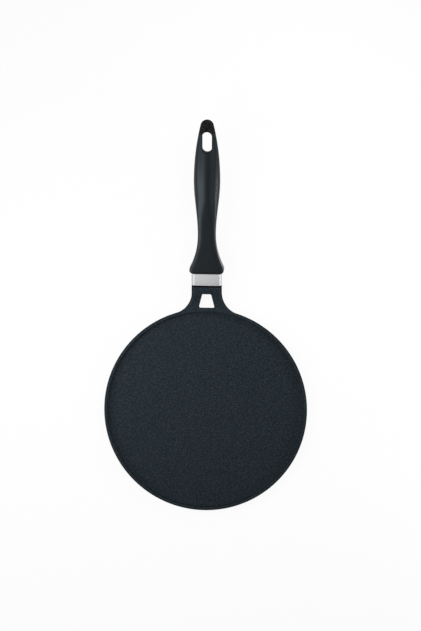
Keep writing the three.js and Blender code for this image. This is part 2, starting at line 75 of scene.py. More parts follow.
NECK_LENGTH = 0.0287
NECK_END_WIDTH = 0.0368
NECK_END_HEIGHT = 0.015
NECK_END_CORNER = 0.0045
NECK_END_LEVEL = 0.0125
NECK_ROOT_HEIGHT = 0.0075
NECK_ROOT_CORNER = 0.002
NECK_FILLET = 0.0265
NECK_EDGE_ROUND = 0.0005
UNDER_LEVEL = 0.0015  # where the neck's lower fillet leaves the plate's round corner
UNDER_FILLET = 0.0061
WINDOW_INSET = 0.0008
WINDOW_LENGTH = 0.0174
WINDOW_NEAR_WIDTH = 0.0198
WINDOW_FAR_WIDTH = 0.0112
WINDOW_CORNER = 0.0018
WINDOW_ROUND = 0.0004
TANG_WIDTH = 0.016
TANG_THICKNESS = 0.006
TANG_CORNER = 0.0015
TANG_LIFT = 0.002
TANG_DEPTH = 0.026
TANG_END_GAP = 0.0006
SPIGOT_LENGTH = 0.003

# Sizes of the ferrule

FERRULE_LENGTH = 0.0145
FERRULE_WALL = 0.001
FERRULE_ROUND = 0.0003
FIT_GAP = 0.0003
SHADOW_GAP = 0.0015

# Sizes of the handle, along its axis from its front face

HANDLE_TILT = math.radians(10)
HANDLE_LENGTH = 0.1889
FLARE_WIDTH = 0.0422
FLARE_CORNER = 0.0045
FRONT_EDGE_ROUND = 0.0024
FRONT_RISE, FRONT_DROP = 0.0096, 0.010
WAIST_AT, WAIST_WIDTH = 0.0473, 0.0219
WAIST_RISE, WAIST_DROP = 0.0068, 0.0076
GRIP_AT, GRIP_WIDTH = 0.1150, 0.0320
GRIP_RISE, GRIP_DROP = 0.0104, 0.0114
NOSE_RADIUS = 0.0081
NOSE_RISE, NOSE_DROP = 0.0056, 0.0058
ROUND_AT = 0.095  # where the section has become an ellipse
FRONT_SQUARENESS, WAIST_SQUARENESS, GRIP_SQUARENESS = 12.0, 5.0, 2.0
SLOT_WIDTH = 0.0118
SLOT_LENGTH = 0.0256
SLOT_FROM_TIP = 0.0146
SLOT_ROUND = 0.0005

# Sizes of the screw and its washers

SCREW_AT = 0.0185
SCREW_DIAMETER = 0.005
THREAD_PITCH = 0.0008
THREAD_DEPTH = 0.0004
THREAD_TIP_SHARE = 0.3  # of the depth that is left at the screw's tip
HEAD_DIAMETER = 0.0094
HEAD_HEIGHT = 0.0026
HEAD_ROUND = 0.0007
RECESS_WIDTH = 0.0012
RECESS_SPAN = 0.0052
RECESS_DEPTH = 0.0016
RECESS_TAPER = 0.6
SPRING_WASHER_DIAMETER = 0.0088
SPRING_WASHER_THICKNESS = 0.0012
SPRING_WASHER_SPLIT = math.radians(20)
FLAT_WASHER_DIAMETER = 0.010
FLAT_WASHER_THICKNESS = 0.001
SEAT_THICKNESS = 0.002
SMALL_EDGE = 0.00015
COUNTERBORE_EDGE = 0.0004

# Fineness of the meshes

EDGE_STEPS = 5  # on the round mouths of the window and the slot
END_STEPS = 4  # on the round ends of the neck and the ferrule
RING_SIDE_STEPS = 5
UNDER_STEPS, MOUTH_STEPS, FOOT_STEPS = 6, 6, 8
RIM_STEPS, WALL_STEPS, BASE_STEPS = 8, 2, 10  # down the plate's edge, and down the neck's sides to match it
NECK_COLUMNS, REST_COLUMNS = 44, 316  # round the plate, inside the neck and beyond it
NECK_FILLET_STEPS, NECK_STRAIGHT_STEPS = 26, 12
FLARE_STEPS, FLANK_STEPS, SWELL_STEPS, TAIL_STEPS, NOSE_STEPS = 13, 33, 45, 45, 15
HANDLE_POINTS = 128
SLOT_STEPS = 28
HOLE_SEGMENTS, SCREW_SEGMENTS, WASHER_SEGMENTS = 48, 64, 72
THREAD_SEGMENTS, THREAD_STEPS = 40, 8
FLOOR_SEGMENTS, FLOOR_EDGE_STEPS = 64, 8
CORNER_STEPS, FERRULE_CORNER_STEPS, TANG_CORNER_STEPS, WASHER_CORNER_STEPS = 8, 12, 4, 3
WINDOW_CORNER_STEPS = 6
HEAD_STEPS = 8
FACE_PASSES = 4  # that close in on the neck's leaning section over a place
WELD_DISTANCE, SLIVER_LENGTH = 1e-7, 1e-8

# Values of the finishes

COAT_TINT, MOULDING_TINT = (0.7, 0.87, 1.0), (0.76, 0.89, 1.0)  # of the gloss
COAT_ROUGHNESS, MOULDING_ROUGHNESS = (0.50, 0.62), (0.34, 0.36)
COAT_GLOSS, BLACK_GLOSS = 0.18, 0.06
MOULDING_GLOSS, DULL_GLOSS = 0.295, 0.12
BLACK_ROUGHER, DULL_ROUGHER = 0.3, 0.4  # added where the coating is black and the moulding dull
CREST_BAND = 0.001  # over which the rim's coating turns black, painted shade on the rim's outer round
BAND_EDGE = 0.0002
PEBBLES_FROM, PEBBLES_FULL = 0.0045, 0.001  # before the slot's end
SLOT_SHADE_FROM, SLOT_SHADE_FULL = 0.0006, 0.0003  # outside the slot's wall, where the slot's painted shade begins and where it is full
PEBBLES_PER_METRE = 480
STEEL_LINE_DEPTH = 0.06  # of the roughness, up and down
STEEL_LINE_SHADE = 0.88
FERRULE_FINISH = (0.55, 0.554, 0.558), 0.6, (2500, 60, 2500)  # colour, roughness, fineness along x, y, z
FASTENER_FINISH = (0.5, 0.5, 0.49), 0.32, (1500, 1500, 400)

# The photograph's view: nearly straight down, leaning a little over the handle's right side

LENS_MM, SENSOR_MM = 120, 36
VIEW_TARGET = Vector((0.0049, 0.1167, 0.0095))
VIEW_DISTANCE = 2.5796
VIEW_TILT = math.radians(5.7)
VIEW_BEARING = math.radians(61.0)
VIEW_ROLL = math.radians(0.68)

# The studio: each lamp's degrees above the floor, bearing, distance, size and power

LAMP_TARGET = Vector((0, 0.15, 0.03))
LAMPS = {
    "left_low": (30, 195, 0.9, (0.6, 0.25), 2.54),
    "left_high": (54, 203, 0.48, (0.25, 0.25), 0.81),
    "back_left": (61, 156, 0.49, (0.3, 0.25), 0.43),
    "back_right": (42, 58, 0.48, (0.3, 0.25), 1.04),
    "right_low": (14, 346, 0.565, (0.35, 0.2), 1.43),
    "right_high": (57, 335, 0.565, (0.35, 0.2), 0.27),
}
WORLD_STRENGTH = 0.252
FLOOR_REACH, FLOOR_ROUND, FLOOR_WALL = 12.0, 1.5, 2.2
FLOOR_DROP = 0.0002  # below the plate's underside
FLOOR_PAINT = 0.8
FLOOR_GLOW_SHARE = 0.93  # of what the camera sees, so that the rest shows the shadow

# Places worked out from the sizes

RIM_TOP_RADIUS = PLATE_RADIUS - RIM_WIDTH
RIM_FOOT_RADIUS = RIM_TOP_RADIUS - (RIM_LEVEL - FLOOR_THICKNESS) * math.tan(RIM_DRAFT)
CREST_RADIUS = PLATE_RADIUS - RIM_OUTER_ROUND
NECK_END_AT = PLATE_RADIUS + NECK_LENGTH
FILLET_X = NECK_END_WIDTH / 2 + NECK_FILLET
FILLET_Y = math.sqrt((PLATE_RADIUS + NECK_FILLET) ** 2 - FILLET_X**2)
FILLET_TOUCH = math.atan2(FILLET_Y, FILLET_X)
UNDER_ANGLE = math.asin(1 - UNDER_LEVEL / BASE_CORNER)
UNDER_RADIUS = PLATE_RADIUS - BASE_CORNER + BASE_CORNER * math.cos(UNDER_ANGLE)
FERRULE_START = SHADOW_GAP
FERRULE_END = FERRULE_START + FERRULE_LENGTH
HANDLE_FRONT = FERRULE_END + FIT_GAP
TANG_END = HANDLE_FRONT + TANG_DEPTH
TANG_UNDERSIDE = TANG_LIFT - TANG_THICKNESS / 2
TANG_TOP = TANG_LIFT + TANG_THICKNESS / 2
SCREW_Y = HANDLE_FRONT + SCREW_AT
SEAT_LEVEL = TANG_UNDERSIDE - FIT_GAP - SEAT_THICKNESS
FLAT_WASHER_TOP = SEAT_LEVEL - FIT_GAP
SPRING_WASHER_TOP = FLAT_WASHER_TOP - FLAT_WASHER_THICKNESS - FIT_GAP
HEAD_TOP = SPRING_WASHER_TOP - SPRING_WASHER_THICKNESS - FIT_GAP
HOLE_RADIUS = SCREW_DIAMETER / 2 + FIT_GAP
COUNTERBORE_RADIUS = FLAT_WASHER_DIAMETER / 2 + FIT_GAP
TO_HANDLE = Matrix.Translation((0, NECK_END_AT, NECK_END_LEVEL)) @ Matrix.Rotation(HANDLE_TILT, 4, "X")
TO_SCREW = TO_HANDLE @ Matrix.Translation((0, SCREW_Y, 0))
OVERRUN = 0.005
SHARP_ANGLE = math.radians(32)


# Curves and meshes


def ease(start, end, share):
    """A value that goes from start to end with level ends."""
    return start + (end - start) * (1 - math.cos(math.pi * share)) / 2


def arc(x, y, radius, start, end, steps):
    """Points of a round, both ends included."""
    angles = np.linspace(start, end, steps + 1)
    return [(x + radius * math.cos(a), y + radius * math.sin(a)) for a in angles]


def rounded_rectangle(width, height, corner, steps=CORNER_STEPS):
    """A closed section, anticlockwise from its right-hand side."""
    across, up = width / 2 - corner, height / 2 - corner
    points = []
    for quarter, (x, y) in enumerate([(across, up), (-across, up), (-across, -up), (across, -up)]):
        start = quarter * math.pi / 2
        points += arc(x, y, corner, start, start + math.pi / 2, steps)
    return points


def rounded_outline(corners, radius, steps):
    """A closed outline with every corner rounded, its corners given anticlockwise."""
    points = []
    for i, corner in enumerate(corners):
        back = (Vector(corners[i - 1]) - Vector(corner)).normalized()
        ahead = (Vector(corners[(i + 1) % len(corners)]) - Vector(corner)).normalized()
        half = back.angle(ahead) / 2
        centre = Vector(corner) + (back + ahead).normalized() * radius / math.sin(half)
        start = math.atan2(-back.x, back.y) + math.pi
        points += arc(*centre, radius, start, start + math.pi - 2 * half, steps)
    return points


def outline_normals(points):
    """Outward directions at the points of an anticlockwise outline."""
    places = np.array(points)
    along = np.roll(places, -1, axis=0) - np.roll(places, 1, axis=0)
    normals = np.stack([along[:, 1], -along[:, 0]], axis=1)
    return normals / np.linalg.norm(normals, axis=1, keepdims=True)


def new_object(name, vertices, faces):
    mesh = bpy.data.meshes.new(name)
    mesh.from_pydata([tuple(v) for v in vertices], [], faces)
    piece = bpy.data.objects.new(name, mesh)
    bpy.context.scene.collection.objects.link(piece)
    return piece


def skin(name, rings, closed=False, caps=True, to_frame=None):
    """A mesh over rings of equally many points. Closed joins the last ring to the first."""
    count = len(rings[0])
    vertices = [Vector(p) for ring in rings for p in ring]
    faces = []
    for r in range(len(rings) if closed else len(rings) - 1):
        here, there = r * count, (r + 1) % len(rings) * count
        for i in range(count):
            j = (i + 1) % count
            faces.append((here + i, here + j, there + j, there + i))
    if caps and not closed:
        last = (len(rings) - 1) * count
        faces.append(tuple(reversed(range(count))))
        faces.append(tuple(range(last, last + count)))
    if to_frame is not None:
        vertices = [to_frame @ v for v in vertices]
    piece = new_object(name, vertices, faces)
    clean(piece)
    return piece


def clean(piece):
    """Welds doubled points and turns the faces outwards."""
    mesh = bmesh.new()
    mesh.from_mesh(piece.data)
    bmesh.ops.remove_doubles(mesh, verts=mesh.verts, dist=WELD_DISTANCE)
    bmesh.ops.dissolve_degenerate(mesh, edges=mesh.edges, dist=SLIVER_LENGTH)
    bmesh.ops.recalc_face_normals(mesh, faces=mesh.faces)
    mesh.to_mesh(piece.data)
    mesh.free()


def turned(name, profile, segments, to_frame):
    """A mesh turned about the vertical axis from (radius, height) points that start and end on it."""
    rings = []
    for radius, height in profile:
        angles = [2 * math.pi * i / segments for i in range(segments)]
        rings.append([(radius * math.cos(a), radius * math.sin(a), height) for a in angles])
    return skin(name, rings, to_frame=to_frame)


def combine(piece, other, operation):
    """Joins or cuts a piece with another mesh, which is used up."""
    modifier = piece.modifiers.new(operation, "BOOLEAN")
    modifier.operation = operation
    modifier.solver = "EXACT"
    modifier.object = other
    shaped = bpy.data.meshes.new_from_object(piece.evaluated_get(bpy.context.evaluated_depsgraph_get()))
    piece.modifiers.clear()
    worn = piece.data
    piece.data = shaped
    bpy.data.meshes.remove(worn)
    bpy.data.objects.remove(other)


def through_cutter(name, outline, top, bottom, edge, to_frame=None):
    """A cutter through a piece whose mouths flare, so that they leave round edges.

    top and bottom give the heights of the surface over a point of the outline.
    """
    normals = outline_normals(outline)
    steps = np.linspace(0, math.pi / 2, EDGE_STEPS + 1)
    flare = [(edge * (1 - math.sin(a)), edge * (math.cos(a) - 1)) for a in reversed(steps)]
    below = [(out, -rise) for out, rise in reversed(flare)]

    def ring(face, out, rise):
        return [(x + n[0] * out, y + n[1] * out, face(x, y) + rise) for (x, y), n in zip(outline, normals)]

    rings = [ring(bottom, out, rise) for out, rise in [(edge, -OVERRUN)] + below]
    rings += [ring(top, out, rise) for out, rise in flare + [(edge, OVERRUN)]]
    return skin(name, rings, to_frame=to_frame)


def dress(piece, material, slot, *nodes):
    """Gives a finished mesh its finish and its place in the frame."""
    clean(piece)
    piece.data.materials.clear()
    piece.data.materials.append(material)
    piece.data.polygons.foreach_set("material_index", [0] * len(piece.data.polygons))
    piece.data.shade_smooth()
    piece.data.set_sharp_from_angle(angle=SHARP_ANGLE)
    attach(piece, "root")
    if nodes:
        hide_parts(*nodes)


# Finishes


def principled(name, metallic=0.0, tint=(1, 1, 1)):
    """A new material with its node tree and its shader, whose gloss may be tinted."""
    material = bpy.data.materials.new(name)
    material.use_nodes = True
    shader = material.node_tree.nodes["Principled BSDF"]
    shader.inputs["Metallic"].default_value = metallic
    shader.inputs["Specular Tint"].default_value = (*tint, 1)
    return material, material.node_tree, shader


def add_node(tree, kind, **values):
    """A node with its sockets set by name, where _ stands for a space, or linked to another socket."""
    node = tree.nodes.new(kind)
    for key, value in values.items():
        socket = node.inputs[key.replace("_", " ")]
        if isinstance(value, bpy.types.NodeSocket):
            tree.links.new(value, socket)
        else:
            socket.default_value = value
    return node


def places(tree):
    """The object's own coordinates, in metres in the shared frame."""
    return add_node(tree, "ShaderNodeTexCoord").outputs["Object"]


def grain(tree, scale, detail=2.0, rough=0.5, vector=None):
    """Noise between 0 and 1, over the object's own places unless a vector is given."""
    noise = add_node(tree, "ShaderNodeTexNoise", Vector=vector or places(tree), Scale=scale)
    noise.inputs["Detail"].default_value = detail
    noise.inputs["Roughness"].default_value = rough
    return noise.outputs["Fac"]


def ramp(tree, value, *stops):
    """Colours, or greys, over a value between 0 and 1."""
    node = add_node(tree, "ShaderNodeValToRGB", Fac=value)
    node.color_ramp.elements.remove(node.color_ramp.elements[1])
    for i, (place, colour) in enumerate(stops):
        element = node.color_ramp.elements[0] if i == 0 else node.color_ramp.elements.new(place)
        element.position = place
        rgb = colour if isinstance(colour, tuple) else (colour,) * 3
        element.color = (*rgb, 1)
    return node.outputs["Color"]


def spread(tree, value, low, high, to_low, to_high):
    """Maps a value between low and high to one between to_low and to_high, held at both ends."""
    node = add_node(tree, "ShaderNodeMapRange", Value=value)
    node.inputs["From Min"].default_value = low
    node.inputs["From Max"].default_value = high
    node.inputs["To Min"].default_value = to_low
    node.inputs["To Max"].default_value = to_high
    return node.outputs["Result"]


def bump(tree, shader, height, strength, distance):
    node = add_node(tree, "ShaderNodeBump", Height=height, Strength=strength, Distance=distance)
    tree.links.new(node.outputs["Normal"], shader.inputs["Normal"])


def blend(tree, share, first, second):
    """Goes from the first colour to the second as the share goes from 0 to 1."""
    mix = tree.nodes.new("ShaderNodeMix")
    mix.data_type = "RGBA"
    for name, value in (("Factor", share), ("A", first), ("B", second)):
        socket = next(s for s in mix.inputs if s.name == name and s.enabled)
        tree.links.new(value, socket)
    return next(s for s in mix.outputs if s.enabled)


def share_of(tree, operation, first, second):
    """One value from two: their product, their greater one and so on."""
    node = tree.nodes.new("ShaderNodeMath")
    node.operation = operation
    for value, socket in zip((first, second), node.inputs):
        if isinstance(value, bpy.types.NodeSocket):
            tree.links.new(value, socket)
        else:
            socket.default_value = value
    return node.outputs[0]


def sideways(tree, low, high):
    """1 on faces that look sideways or down, 0 on faces that look up."""
    normal = tree.nodes.new("ShaderNodeNewGeometry").outputs["Normal"]
    facing = add_node(tree, "ShaderNodeSeparateXYZ", Vector=normal)
    return spread(tree, facing.outputs["Z"], low, high, 1, 0)


def beyond(tree, start, end):
    """Goes from 0 to 1 between two distances from the plate's axis."""
    flat = add_node(tree, "ShaderNodeVectorMath", Vector=places(tree))
    flat.operation = "MULTIPLY"
    flat.inputs[1].default_value = (1, 1, 0)
    length = add_node(tree, "ShaderNodeVectorMath", Vector=flat.outputs["Vector"])
    length.operation = "LENGTH"
    return spread(tree, length.outputs["Value"], start, end, 0, 1)


def handle_course(tree):
    """The place along the handle's axis, from the neck's end."""
    offset = add_node(tree, "ShaderNodeVectorMath", Vector=places(tree))
    offset.operation = "SUBTRACT"
    offset.inputs[1].default_value = TO_HANDLE.translation
    product = add_node(tree, "ShaderNodeVectorMath", Vector=offset.outputs["Vector"])
    product.operation = "DOT_PRODUCT"
    product.inputs[1].default_value = TO_HANDLE.to_3x3().col[1]
    return product.outputs["Value"]


def along_handle(tree, start, end):
    """Goes from 0 to 1 between two places along the handle's axis."""
    return spread(tree, handle_course(tree), start, end, 0, 1)


def near_slot(tree, start, end):
    """Goes from 1 to 0 between two distances from the middle line of the hanging slot."""
    middle = HANDLE_FRONT + HANDLE_LENGTH - SLOT_FROM_TIP - SLOT_LENGTH / 2
    from_middle = share_of(tree, "ABSOLUTE", share_of(tree, "SUBTRACT", handle_course(tree), middle), 0)
    past_line = share_of(tree, "SUBTRACT", from_middle, (SLOT_LENGTH - SLOT_WIDTH) / 2)
    across = add_node(tree, "ShaderNodeSeparateXYZ", Vector=places(tree)).outputs["X"]
    away = add_node(tree, "ShaderNodeCombineXYZ", X=across, Y=share_of(tree, "MAXIMUM", past_line, 0))
    length = add_node(tree, "ShaderNodeVectorMath", Vector=away.outputs["Vector"])
    length.operation = "LENGTH"
    return spread(tree, length.outputs["Value"], start, end, 1, 0)


def coated_casting():
    """Non-stick coating: a dark mottle with light flecks on top, and plain black on the rim's outer round,
    on the neck's sides and underside and in its joint with the ferrule. The black is partly the coat of
    the outside and partly painted shade: it darkens the rim's outer round and the faces that turn
    sideways, and the neck's end edge and spigot, where the gap to the ferrule lies in shadow.
    """
    material, tree, shader = principled("coated_casting", tint=COAT_TINT)
    mottle = ramp(tree, grain(tree, 620, detail=3.0, rough=0.6), (0.39, (0.0036, 0.0062, 0.0080)),
                  (0.5, (0.0082, 0.0127, 0.0163)), (0.63, (0.0180, 0.0252, 0.0309)))
    flecks = ramp(tree, grain(tree, 900, detail=1.0),
                  (0.3, (0.030, 0.036, 0.040)), (0.7, (0.048, 0.056, 0.062)))
    fleck_share = spread(tree, grain(tree, 1500, detail=1.0), 0.67, 0.70, 0, 1)
    specks = blend(tree, fleck_share, mottle, flecks)
    # plain black: the coat of the outside, also used as painted shade on the edges and in the joint
    plain = ramp(tree, grain(tree, 900, rough=0.6),
                 (0.3, (0.0020, 0.0022, 0.0024)), (0.7, (0.0040, 0.0044, 0.0048)))
    past_crest = beyond(tree, CREST_RADIUS - CREST_BAND, CREST_RADIUS)
    on_rim = share_of(tree, "SUBTRACT", past_crest, beyond(tree, PLATE_RADIUS, PLATE_RADIUS + BAND_EDGE))
    # painted shade: the rim's outer round goes black as it turns away from looking up
    rim_round_shade = share_of(tree, "MULTIPLY", on_rim, sideways(tree, 0.8, 0.99))
    # black on steep faces past the crest: partly the coat of the outside, partly painted shade on the sides
    walls = share_of(tree, "MULTIPLY", past_crest, sideways(tree, 0.5, 0.8))
    outside = share_of(tree, "MAXIMUM", rim_round_shade, walls)
    # painted shade: the neck's end edge and its spigot go black, standing in for the shadow in the gap to the
    # ferrule
    joint_shade = along_handle(tree, -NECK_EDGE_ROUND - BAND_EDGE, -NECK_EDGE_ROUND)
    black = share_of(tree, "MAXIMUM", outside, joint_shade)
    tree.links.new(blend(tree, black, specks, plain), shader.inputs["Base Color"])
    satin = spread(tree, grain(tree, 300), 0.3, 0.7, *COAT_ROUGHNESS)
    rougher = spread(tree, black, 0, 1, 0, BLACK_ROUGHER)
    tree.links.new(share_of(tree, "ADD", satin, rougher), shader.inputs["Roughness"])
    tree.links.new(spread(tree, black, 0, 1, COAT_GLOSS, BLACK_GLOSS), shader.inputs["Specular IOR Level"])
    bump(tree, shader, grain(tree, 1100, rough=0.6), strength=0.3, distance=0.0003)
    return material


def handle_moulding():
    """Black satin phenolic: a faint flow of the moulding, matt slot walls painted near black as shade, and a
    pebbled end past the slot, painted dark between the pebbles and light on their tops.
    """
    material, tree, shader = principled("handle_moulding", tint=MOULDING_TINT)
    slot_end = HANDLE_FRONT + HANDLE_LENGTH - SLOT_FROM_TIP
    tail = along_handle(tree, slot_end - PEBBLES_FROM, slot_end - PEBBLES_FULL)
    # painted shade: the slot's walls and a thin band round them go near black
    wall = near_slot(tree, SLOT_WIDTH / 2 + SLOT_SHADE_FULL, SLOT_WIDTH / 2 + SLOT_SHADE_FROM)
    smooth = ramp(tree, grain(tree, 260, detail=4.0, rough=0.6),
                  (0.3, (0.0045, 0.0054, 0.0061)), (0.7, (0.0050, 0.0060, 0.0068)))
    cells = add_node(tree, "ShaderNodeTexVoronoi", Vector=places(tree), Scale=PEBBLES_PER_METRE)
    cells.feature = "DISTANCE_TO_EDGE"
    pebbles = spread(tree, cells.outputs["Distance"], 0, 0.3, 0, 1)
    # painted shade and highlight: each pebble is dark in the valleys round it and light on its top, following
    # its bump
    pebbled = ramp(tree, pebbles, (0.2, (0.0006, 0.0005, 0.0004)), (0.9, (0.0250, 0.0238, 0.0212)))
    dull = share_of(tree, "MAXIMUM", tail, wall)
    # near black for the slot's walls, painted shade
    plain = ramp(tree, grain(tree, 900), (0.3, 0.0012), (0.7, 0.0020))
    tree.links.new(blend(tree, wall, blend(tree, tail, smooth, pebbled), plain), shader.inputs["Base Color"])
    satin = spread(tree, grain(tree, 400), 0.3, 0.7, *MOULDING_ROUGHNESS)
    rougher = spread(tree, dull, 0, 1, 0, DULL_ROUGHER)
    tree.links.new(share_of(tree, "ADD", satin, rougher), shader.inputs["Roughness"])
    tree.links.new(spread(tree, dull, 0, 1, MOULDING_GLOSS, DULL_GLOSS), shader.inputs["Specular IOR Level"])
    skin_grain = spread(tree, grain(tree, 2200), 0, 1, 0, 0.05)
    off_wall = share_of(tree, "MULTIPLY", tail, share_of(tree, "SUBTRACT", 1, wall))
    domes = share_of(tree, "MULTIPLY", pebbles, off_wall)
    bump(tree, shader, share_of(tree, "ADD", skin_grain, domes), strength=0.5, distance=0.0004)
    return material


def satin_steel(name, colour, roughness, fineness):
    """Steel with fine lines along the direction in which the grain's fineness is least."""
    material, tree, shader = principled(name, metallic=1.0)
    stretch = add_node(tree, "ShaderNodeMapping", Vector=places(tree), Scale=fineness)
    lines = grain(tree, 1.0, detail=3.0, rough=0.6, vector=stretch.outputs["Vector"])
    dark = tuple(c * STEEL_LINE_SHADE for c in colour)
    tree.links.new(ramp(tree, lines, (0.3, dark), (0.7, colour)), shader.inputs["Base Color"])
    rough = spread(tree, lines, 0.3, 0.7, roughness - STEEL_LINE_DEPTH, roughness + STEEL_LINE_DEPTH)
    tree.links.new(rough, shader.inputs["Roughness"])
    bump(tree, shader, lines, strength=0.1, distance=0.0001)
    return material


# The plate and its neck


def plate_profile():
    """(radius, height) points from the middle of the underside round to the middle of the cooking face.

    The second result is the range of points between which the neck joins the plate's edge.
    """
    points = [(0.0, 0.0)]
    half = RING_WIDTH / 2
    for i in range(RING_COUNT):
        radius = RING_FIRST_RADIUS + RING_PITCH * i
        for share in np.linspace(0, 1, RING_SIDE_STEPS + 1):
            points.append((radius - half + RING_SIDE * share, ease(0, RING_DEPTH, share)))
        for share in np.linspace(1, 0, RING_SIDE_STEPS + 1):
            points.append((radius + half - RING_SIDE * share, ease(0, RING_DEPTH, share)))
    corner = PLATE_RADIUS - BASE_CORNER
    points += arc(corner, BASE_CORNER, BASE_CORNER, -math.pi / 2, -UNDER_ANGLE, UNDER_STEPS)
    low = len(points) - 1
    points += arc(corner, BASE_CORNER, BASE_CORNER, -UNDER_ANGLE, 0, BASE_STEPS)[1:]
    rim = RIM_LEVEL - RIM_OUTER_ROUND
    wall = rim - BASE_CORNER
    points += [(PLATE_RADIUS, BASE_CORNER + wall * i / WALL_STEPS) for i in range(1, WALL_STEPS)]
    points += arc(CREST_RADIUS, rim, RIM_OUTER_ROUND, 0, math.pi / 2, RIM_STEPS)
    crest = len(points) - 1
    slack = math.tan((math.pi / 2 - RIM_DRAFT) / 2)
    mouth = RIM_TOP_RADIUS + RIM_INNER_ROUND * slack, RIM_LEVEL - RIM_INNER_ROUND
    points += arc(*mouth, RIM_INNER_ROUND, math.pi / 2, math.pi - RIM_DRAFT, MOUTH_STEPS)
    foot = RIM_FOOT_RADIUS - FLOOR_FILLET * slack, FLOOR_THICKNESS + FLOOR_FILLET
    points += arc(*foot, FLOOR_FILLET, -RIM_DRAFT, -math.pi / 2, FOOT_STEPS)
    points += [(radius, FLOOR_THICKNESS) for radius in FLOOR_RADII]
    points.append((0.0, FLOOR_THICKNESS))
    return points, (low, crest)


def neck_share(y):
    """How far along the neck a place lies, from 0 at the plate's edge to 1 at the neck's end."""
    return min(1.0, max(0.0, (y - PLATE_RADIUS) / NECK_LENGTH))


def neck_height(y):
    return ease(NECK_ROOT_HEIGHT, NECK_END_HEIGHT, neck_share(y))


def neck_corner(y):
    return ease(NECK_ROOT_CORNER, NECK_END_CORNER, neck_share(y))


def neck_course(y):
    """Height of the neck's middle line and the lean of its section: level at the rim, then along the
    handle.
    """
    share = neck_share(y)
    start = RIM_LEVEL - NECK_ROOT_HEIGHT / 2
    climb = NECK_END_LEVEL - start
    end_climb = NECK_LENGTH * math.tan(HANDLE_TILT)
    level = start + climb * (3 - 2 * share) * share**2 + end_climb * (share - 1) * share**2
    slope = 6 * climb * (1 - share) * share + end_climb * (3 * share - 2) * share
    return level, math.atan(slope / NECK_LENGTH)


def on_section(y, up):
    """The (y, z) of a point that lies up its leaning section from the neck's middle line."""
    level, lean = neck_course(y)
    return y - up * math.sin(lean), level + up * math.cos(lean)


def neck_face(y, side):
    """Height of the neck's top (side 1) or underside (side -1) over a place along it."""
    station = y
    for _ in range(FACE_PASSES):
        station += y - on_section(station, side * neck_height(station) / 2)[0]
    return on_section(station, side * neck_height(station) / 2)[1]


def neck_stations():
    """(outline point, outward direction) pairs down the neck's right side, from the plate to its end."""
    stations = []
    for i in range(1, NECK_FILLET_STEPS + 1):
        angle = FILLET_TOUCH * (1 - i / NECK_FILLET_STEPS)
        out = Vector((math.cos(angle), math.sin(angle)))
        stations.append((Vector((FILLET_X, FILLET_Y)) - out * NECK_FILLET, out))
    for i in range(1, NECK_STRAIGHT_STEPS + 1):
        y = FILLET_Y + (NECK_END_AT - NECK_EDGE_ROUND - FILLET_Y) * i / NECK_STRAIGHT_STEPS
        stations.append((Vector((NECK_END_WIDTH / 2, y)), Vector((1, 0))))
    return stations


def side_steps(height, corner):
    """(inset, height above the middle line) points down the neck's side, as many as the plate's edge has."""
    points = [(corner * (1 - math.sin(a)), height / 2 - corner * (1 - math.cos(a)))
              for a in np.linspace(0, math.pi / 2, RIM_STEPS + 1)]
    straight = height - 2 * corner
    points += [(0, height / 2 - corner - straight * i / WALL_STEPS) for i in range(1, WALL_STEPS)]
    points += [(corner * (1 - math.cos(a)), -height / 2 + corner * (1 - math.sin(a)))
               for a in np.linspace(0, math.pi / 2, BASE_STEPS + 1)]
    return points


def under_reach(x, y):
    """How far the fillet under the neck pulls a point down to the plate's round corner, from 0 to 1."""
    return max(0.0, 1 - (math.hypot(x, y) - UNDER_RADIUS) / UNDER_FILLET) ** 2


def neck_ring(outline, out, edge, share, shrink, bulges):
    """One section of the neck: over the top from right to left, down, back along the underside and up.

    edge holds the plate's own (inset, height) points from its crest down. Near the plate the section
    takes them on, and further out it is a rounded bar.
    """
    gap = max(0.0, 1 - (outline.length - PLATE_RADIUS) / UNDER_FILLET) ** 2
    y = outline.y
    height = neck_height(y) - 2 * shrink
    side = []
    for (plate_inset, plate_z), (bar_inset, up) in zip(edge, side_steps(height, neck_corner(y) - shrink)):
        bar_y, bar_z = on_section(y, up)
        inset = plate_inset * gap + (bar_inset + shrink) * (1 - gap)
        at = outline - out * inset
        side.append(Vector((at.x, at.y + (bar_y - y) * (1 - gap), plate_z * gap + bar_z * (1 - gap))))
    ring = []
    for q in share:
        place = side[0].x * q
        station = y - out.y * (outline - side[0].xy).length + bulges[0] * (1 - q * q)
        ring.append(Vector((place, *on_section(station, height / 2))))
    ring[0], ring[-1] = side[0], Vector((-side[0].x, side[0].y, side[0].z))
    left = [Vector((-p.x, p.y, p.z)) for p in side]
    under = []
    for q in share:
        place = side[-1].x * q
        station = y - out.y * (outline - side[-1].xy).length + bulges[1] * (1 - q * q)
        low_y, low_z = on_section(station, -height / 2)
        under.append(Vector((place, low_y, low_z - (low_z - UNDER_LEVEL) * under_reach(place, low_y))))
    under[0], under[-1] = side[-1], left[-1]
    return ring + left[1:-1] + list(reversed(under)) + list(reversed(side[1:-1]))


